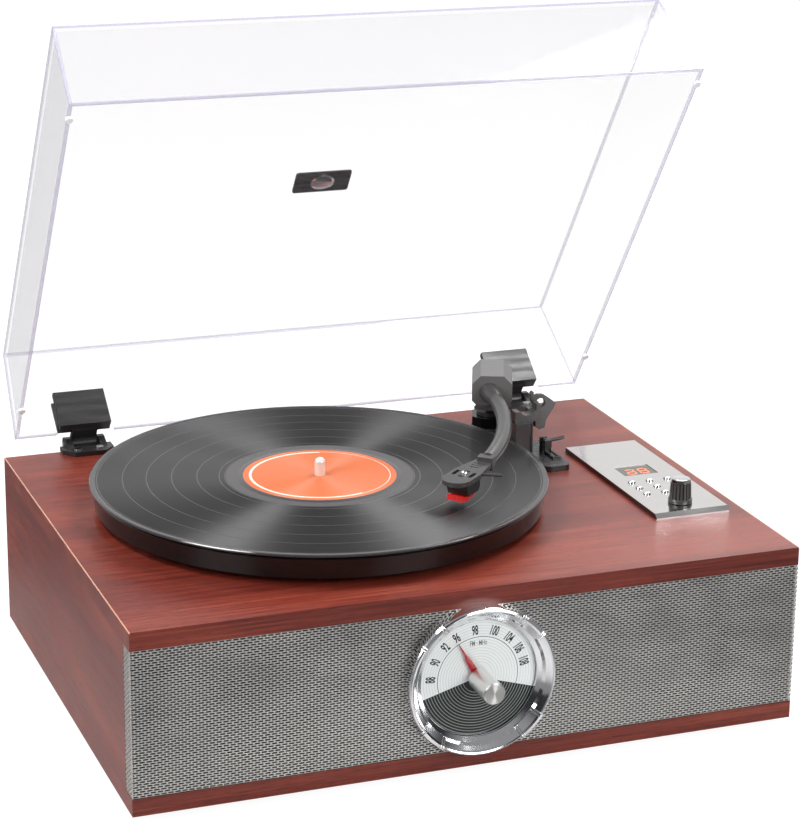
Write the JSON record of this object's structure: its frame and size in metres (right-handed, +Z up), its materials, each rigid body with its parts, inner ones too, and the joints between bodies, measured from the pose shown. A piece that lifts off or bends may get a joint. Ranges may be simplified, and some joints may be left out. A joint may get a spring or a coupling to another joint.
{
  "type": "stereo music centre",
  "caption": "Wooden stereo music centre with a turntable, a tuner dial, a perforated speaker front, a control panel and a hinged clear cover.",
  "frame": {"origin": "centre of the cabinet's underside, above the feet", "axes": "+X to the right seen from the front, +Y to the rear, +Z up"},
  "size_m": [0.438, 0.4172, 0.4414],
  "materials": {
    "wood_veneer": "reddish mahogany veneer, satin",
    "grille_metal": "perforated, satin silver",
    "chrome": "polished",
    "steel": "turned and brushed",
    "brass": "turned",
    "silver_panel": "mirror-smooth lacquered",
    "black_gloss": "glossy black",
    "black_matte": "fine matte black",
    "grey_plastic": "satin dark grey",
    "grey_paint": "satin grey paint",
    "red_plastic": "bright red",
    "clear_plastic": "clear, polished",
    "window_plastic": "dark smoked",
    "dial_print": "printed dial face",
    "vinyl": "pressed black vinyl",
    "felt": "black felt",
    "rubber": "matte",
    "circuit_board": "green lacquer",
    "speaker_body": "black paint",
    "board": "raw fibre board"
  },
  "bodies": {
    "cabinet": {"top_board": "wood_veneer", "bottom_board": "wood_veneer", "left_side_panel": "wood_veneer", "right_side_panel": "wood_veneer", "rear_panel": "board", "front_baffle": "board", "speaker_grille": "grille_metal", "left_speaker": "speaker_body", "right_speaker": "speaker_body", "dial_bezel": "chrome", "dial_face": "dial_print", "dial_lens": "clear_plastic", "tuning_capacitor": "grey_plastic", "control_panel": "silver_panel", "display_window": "window_plastic", "control_board": "circuit_board", "volume_control": "grey_plastic", "main_board": "circuit_board", "rear_sockets": "black_matte", "platter_bearing": "brass", "drive_motor": "steel", "drive_belt": "rubber", "tonearm_base": "black_gloss", "pivot_housing": "black_gloss", "arm_rest": "grey_plastic", "left_hinge_base": "black_gloss", "right_hinge_base": "black_gloss", "hinge_pins": "steel", "wood_screws": "steel", "rubber_feet": "rubber"},
    "tuner": {"tuning_knob": "steel", "dial_pointer": "red_plastic", "tuning_shaft": "steel"},
    "volume": {"volume_knob": "grey_plastic"},
    "mode_button": {"mode_button": "chrome"},
    "previous_button": {"previous_button": "chrome"},
    "next_button": {"next_button": "chrome"},
    "play_button": {"play_button": "chrome"},
    "stop_button": {"stop_button": "chrome"},
    "record_button": {"record_button": "chrome"},
    "delete_button": {"delete_button": "chrome"},
    "turning_platter": {"platter": "black_gloss", "slipmat": "felt", "record": "vinyl", "spindle": "chrome"},
    "pulley": {"motor_pulley": "brass"},
    "arm_post": {"pivot_post": "black_matte"},
    "tonearm": {"counterweight": "grey_paint", "arm_tube": "grey_paint", "headshell": "grey_plastic", "cartridge": "black_matte", "stylus": "red_plastic", "pivot_pin": "steel"},
    "rest_clip": {"rest_clip": "grey_plastic"},
    "cue_lever": {"cue_lever": "black_gloss"},
    "lift_platform": {"lift_platform": "black_matte"},
    "cover": {"dust_cover": "clear_plastic", "left_hinge_leaf": "black_gloss", "right_hinge_leaf": "black_gloss", "cover_fittings": "black_matte"}
  },
  "joints": [
    {"name": "cover_hinge", "type": "hinge", "parent": "cabinet", "child": "cover", "pos_m": [0, 0.1746, 0.1202], "axis": [-1, 0, 0], "range_deg": [-55.2, 0]},
    {"name": "platter_spin", "type": "hinge", "parent": "cabinet", "child": "turning_platter", "pos_m": [-0.0435, 0.00744, 0.13], "axis": [0, 0, -1], "continuous": true},
    {"name": "pulley_spin", "type": "hinge", "parent": "cabinet", "child": "pulley", "pos_m": [-0.11067, 0.07462, 0.11], "axis": [0, 0, -1], "continuous": true},
    {"name": "arm_swing", "type": "hinge", "parent": "cabinet", "child": "arm_post", "pos_m": [0.112, 0.08994, 0.14], "axis": [0, 0, 1], "range_deg": [-16.5, 25.9]},
    {"name": "arm_lift", "type": "hinge", "parent": "arm_post", "child": "tonearm", "pos_m": [0.112, 0.08994, 0.1614], "axis": [-0.9272, 0.3746, 0], "range_deg": [0, 6]},
    {"name": "cue_lever_turn", "type": "hinge", "parent": "cabinet", "child": "cue_lever", "pos_m": [0.137, 0.05044, 0.1289], "axis": [0, -1, 0], "range_deg": [0, 50]},
    {"name": "lift_slide", "type": "slide", "parent": "cabinet", "child": "lift_platform", "axis": [0, 0, 1], "range_m": [0, 0.0032]},
    {"name": "rest_clip_turn", "type": "hinge", "parent": "cabinet", "child": "rest_clip", "pos_m": [0.1325, 0.05194, 0.1444], "axis": [0, 1, 0], "range_deg": [0, 40]},
    {"name": "tuning_turn", "type": "hinge", "parent": "cabinet", "child": "tuner", "pos_m": [0, -0.1675, 0.0587], "axis": [0, 1, 0], "range_deg": [-56.5, 106.5]},
    {"name": "volume_turn", "type": "hinge", "parent": "cabinet", "child": "volume", "pos_m": [0.181, -0.0728, 0.1274], "axis": [0, 0, -1], "range_deg": [-150, 150]},
    {"name": "mode_button_press", "type": "slide", "parent": "cabinet", "child": "mode_button", "axis": [0, 0, -1], "range_m": [0, 0.0008], "stiffness_N_per_m": 400},
    {"name": "previous_button_press", "type": "slide", "parent": "cabinet", "child": "previous_button", "axis": [0, 0, -1], "range_m": [0, 0.0008], "stiffness_N_per_m": 400},
    {"name": "next_button_press", "type": "slide", "parent": "cabinet", "child": "next_button", "axis": [0, 0, -1], "range_m": [0, 0.0008], "stiffness_N_per_m": 400},
    {"name": "play_button_press", "type": "slide", "parent": "cabinet", "child": "play_button", "axis": [0, 0, -1], "range_m": [0, 0.0008], "stiffness_N_per_m": 400},
    {"name": "stop_button_press", "type": "slide", "parent": "cabinet", "child": "stop_button", "axis": [0, 0, -1], "range_m": [0, 0.0008], "stiffness_N_per_m": 400},
    {"name": "record_button_press", "type": "slide", "parent": "cabinet", "child": "record_button", "axis": [0, 0, -1], "range_m": [0, 0.0008], "stiffness_N_per_m": 400},
    {"name": "delete_button_press", "type": "slide", "parent": "cabinet", "child": "delete_button", "axis": [0, 0, -1], "range_m": [0, 0.0008], "stiffness_N_per_m": 400}
  ],
  "couplings": [
    {"joint": "pulley_spin", "follows": "platter_spin", "ratio": 10},
    {"joint": "cue_lever_turn", "follows": "arm_lift", "ratio": 8.3333},
    {"joint": "lift_slide", "follows": "arm_lift", "m_per_rad": 0.03056}
  ]
}
